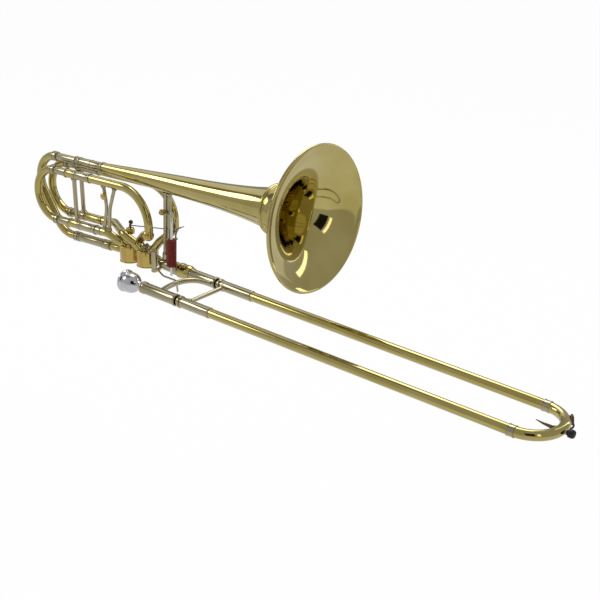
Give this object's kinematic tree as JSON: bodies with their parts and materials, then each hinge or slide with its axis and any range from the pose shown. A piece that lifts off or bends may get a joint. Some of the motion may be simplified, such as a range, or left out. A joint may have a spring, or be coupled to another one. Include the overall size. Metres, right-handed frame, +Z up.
{
  "type": "bass trombone",
  "caption": "Bass trombone with a flared bell, open-wrap tubing with in-line drum valves, a hand slide with water key, trigger levers, a padded hand rest and a cup mouthpiece.",
  "frame": {"origin": "on the upper slide tube's axis, directly under the vertical hand brace that the left hand holds", "axes": "+X along the hand slide towards its bow, +Z up towards the bell, -Y towards the mouthpiece tube"},
  "size_m": [1.166, 0.2414, 0.3329],
  "materials": {
    "lacquered_brass": "clear lacquer over polished yellow brass",
    "amber_brass": "clear lacquer over warm red brass",
    "nickel_silver": "lacquered nickel silver, softly polished",
    "silver_plate": "polished silver or chrome plate",
    "lever_steel": "satin nickel-plated steel",
    "dark_bronze": "dark tarnished bronze",
    "red_leather": "burgundy leather, fine grain",
    "black_rubber": "matt black rubber",
    "cork": "natural cork pad"
  },
  "bodies": {
    "bell_and_inner_slide": {"bell_flare": "lacquered_brass", "bell_stem": "lacquered_brass", "neck_ring": "amber_brass", "main_upper_sleeve": "nickel_silver", "main_lower_sleeve": "nickel_silver", "valve_link_tube": "lacquered_brass", "rear_valve_casing": "amber_brass", "front_valve_casing": "amber_brass", "rear_valve_cap": "amber_brass", "front_valve_cap": "amber_brass", "near_slide_sleeves": "nickel_silver", "far_slide_sleeves": "nickel_silver", "near_front_tube": "lacquered_brass", "near_rear_tube": "lacquered_brass", "far_front_tube": "lacquered_brass", "far_rear_tube": "lacquered_brass", "mid_brace_front": "nickel_silver", "mid_brace_rear": "nickel_silver", "neckpipe": "nickel_silver", "slide_receiver": "nickel_silver", "far_barrel": "nickel_silver", "near_barrel": "nickel_silver", "inner_brace": "nickel_silver", "inner_tube_far": "silver_plate", "inner_tube_near": "silver_plate", "hand_brace": "nickel_silver", "rest_clamp": "nickel_silver", "thumb_bracket": "nickel_silver", "finger_bracket": "lacquered_brass"},
    "hand_slide": {"outer_tube_far": "lacquered_brass", "outer_tube_near": "lacquered_brass", "bow_ferrule_far": "nickel_silver", "bow_ferrule_near": "nickel_silver", "outer_brace": "nickel_silver", "slide_bow": "lacquered_brass", "bumper_stem": "nickel_silver", "bumper_tip": "black_rubber", "water_key_saddle": "nickel_silver"},
    "slide_lock": {"slide_lock_ring": "nickel_silver", "lock_ring_screw": "amber_brass"},
    "water_key": {"water_key_lever": "dark_bronze", "water_key_cork": "cork"},
    "main_tuning_slide": {"main_tuning_crook": "lacquered_brass"},
    "near_tuning_slide": {"near_tuning_crook": "lacquered_brass"},
    "far_tuning_slide": {"far_tuning_crook": "lacquered_brass"},
    "mouthpiece": {"mouthpiece": "silver_plate"},
    "rear_valve_rotor": {"rear_rotor": "lacquered_brass", "rear_stop_arm": "lever_steel"},
    "thumb_lever": {"thumb_lever": "lever_steel"},
    "thumb_link": {"thumb_link": "lever_steel"},
    "front_valve_rotor": {"front_rotor": "lacquered_brass", "front_stop_arm": "lever_steel"},
    "finger_lever": {"finger_lever": "nickel_silver"},
    "finger_link": {"finger_link": "lever_steel"},
    "hand_rest": {"rest_rod": "silver_plate", "hand_rest_grip": "red_leather"},
    "rest_clamp_screw": {"rest_clamp_screw": "amber_brass"},
    "mid_brace_screw": {"mid_brace_screw": "amber_brass"},
    "lock_nut": {"bell_lock_nut": "lacquered_brass"}
  },
  "joints": [
    {"name": "hand_slide", "type": "slide", "parent": "bell_and_inner_slide", "child": "hand_slide", "axis": [1, 0, 0], "range_m": [0, 0.6]},
    {"name": "slide_lock_turn", "type": "hinge", "parent": "hand_slide", "child": "slide_lock", "pos_m": [0.1305, -0.0986, 0], "axis": [1, 0, 0], "range_deg": [0, 60]},
    {"name": "water_key", "type": "hinge", "parent": "hand_slide", "child": "water_key", "pos_m": [0.803, -0.0195, -0.0128], "axis": [0, 1, 0], "range_deg": [0, 15], "stiffness_Nm_per_rad": 0.05, "springref_deg": -28.65},
    {"name": "main_tuning_slide", "type": "slide", "parent": "bell_and_inner_slide", "child": "main_tuning_slide", "axis": [-0.998, 0, -0.0628], "range_m": [0, 0.045]},
    {"name": "near_tuning_slide", "type": "slide", "parent": "bell_and_inner_slide", "child": "near_tuning_slide", "axis": [-0.998, 0, -0.0628], "range_m": [-0.018, 0.03]},
    {"name": "far_tuning_slide", "type": "slide", "parent": "bell_and_inner_slide", "child": "far_tuning_slide", "axis": [-0.998, 0, -0.0628], "range_m": [-0.012, 0.03]},
    {"name": "mouthpiece_pull", "type": "slide", "parent": "bell_and_inner_slide", "child": "mouthpiece", "axis": [-1, 0, 0], "range_m": [0, 0.03]},
    {"name": "rear_rotor", "type": "hinge", "parent": "bell_and_inner_slide", "child": "rear_valve_rotor", "pos_m": [-0.08601, 0, 0.00019], "axis": [-0.0628, 0, 0.998], "range_deg": [-86, 0], "stiffness_Nm_per_rad": 0.03, "springref_deg": 28.65},
    {"name": "thumb_lever", "type": "hinge", "parent": "bell_and_inner_slide", "child": "thumb_lever", "pos_m": [0.015, 0.009, 0.049], "axis": [0, 1, 0], "range_deg": [0, 35]},
    {"name": "thumb_link", "type": "slide", "parent": "bell_and_inner_slide", "child": "thumb_link", "axis": [0.998, 0, 0.0628], "range_m": [0, 0.0109]},
    {"name": "front_rotor", "type": "hinge", "parent": "bell_and_inner_slide", "child": "front_valve_rotor", "pos_m": [-0.04409, 0, 0.00283], "axis": [-0.0628, 0, 0.998], "range_deg": [0, 76], "stiffness_Nm_per_rad": 0.03, "springref_deg": -28.65},
    {"name": "finger_lever", "type": "hinge", "parent": "bell_and_inner_slide", "child": "finger_lever", "pos_m": [-0.0115, -0.0165, 0.009], "axis": [0, 0, 1], "range_deg": [0, 36]},
    {"name": "finger_link", "type": "slide", "parent": "bell_and_inner_slide", "child": "finger_link", "axis": [1, 0, 0], "range_m": [0, 0.0074]},
    {"name": "hand_rest_height", "type": "slide", "parent": "bell_and_inner_slide", "child": "hand_rest", "axis": [0, 0, 1], "range_m": [-0.004, 0.02]},
    {"name": "rest_clamp_screw", "type": "hinge", "parent": "bell_and_inner_slide", "child": "rest_clamp_screw", "pos_m": [0, 0, 0.098], "axis": [-0.8, -0.6, 0], "range_deg": [0, 180]},
    {"name": "mid_brace_screw", "type": "hinge", "parent": "bell_and_inner_slide", "child": "mid_brace_screw", "pos_m": [-0.12974, -0.0286, 0.10164], "axis": [0, 1, 0], "range_deg": [0, 180]},
    {"name": "lock_nut", "type": "hinge", "parent": "bell_and_inner_slide", "child": "lock_nut", "pos_m": [0.0495, 0, 0], "axis": [1, 0, 0], "range_deg": [0, 180]}
  ],
  "couplings": [
    {"joint": "thumb_lever", "follows": "rear_rotor", "ratio": -0.4069},
    {"joint": "thumb_link", "follows": "rear_rotor", "m_per_rad": -0.00726},
    {"joint": "finger_lever", "follows": "front_rotor", "ratio": 0.4736},
    {"joint": "finger_link", "follows": "front_rotor", "m_per_rad": 0.005578}
  ]
}
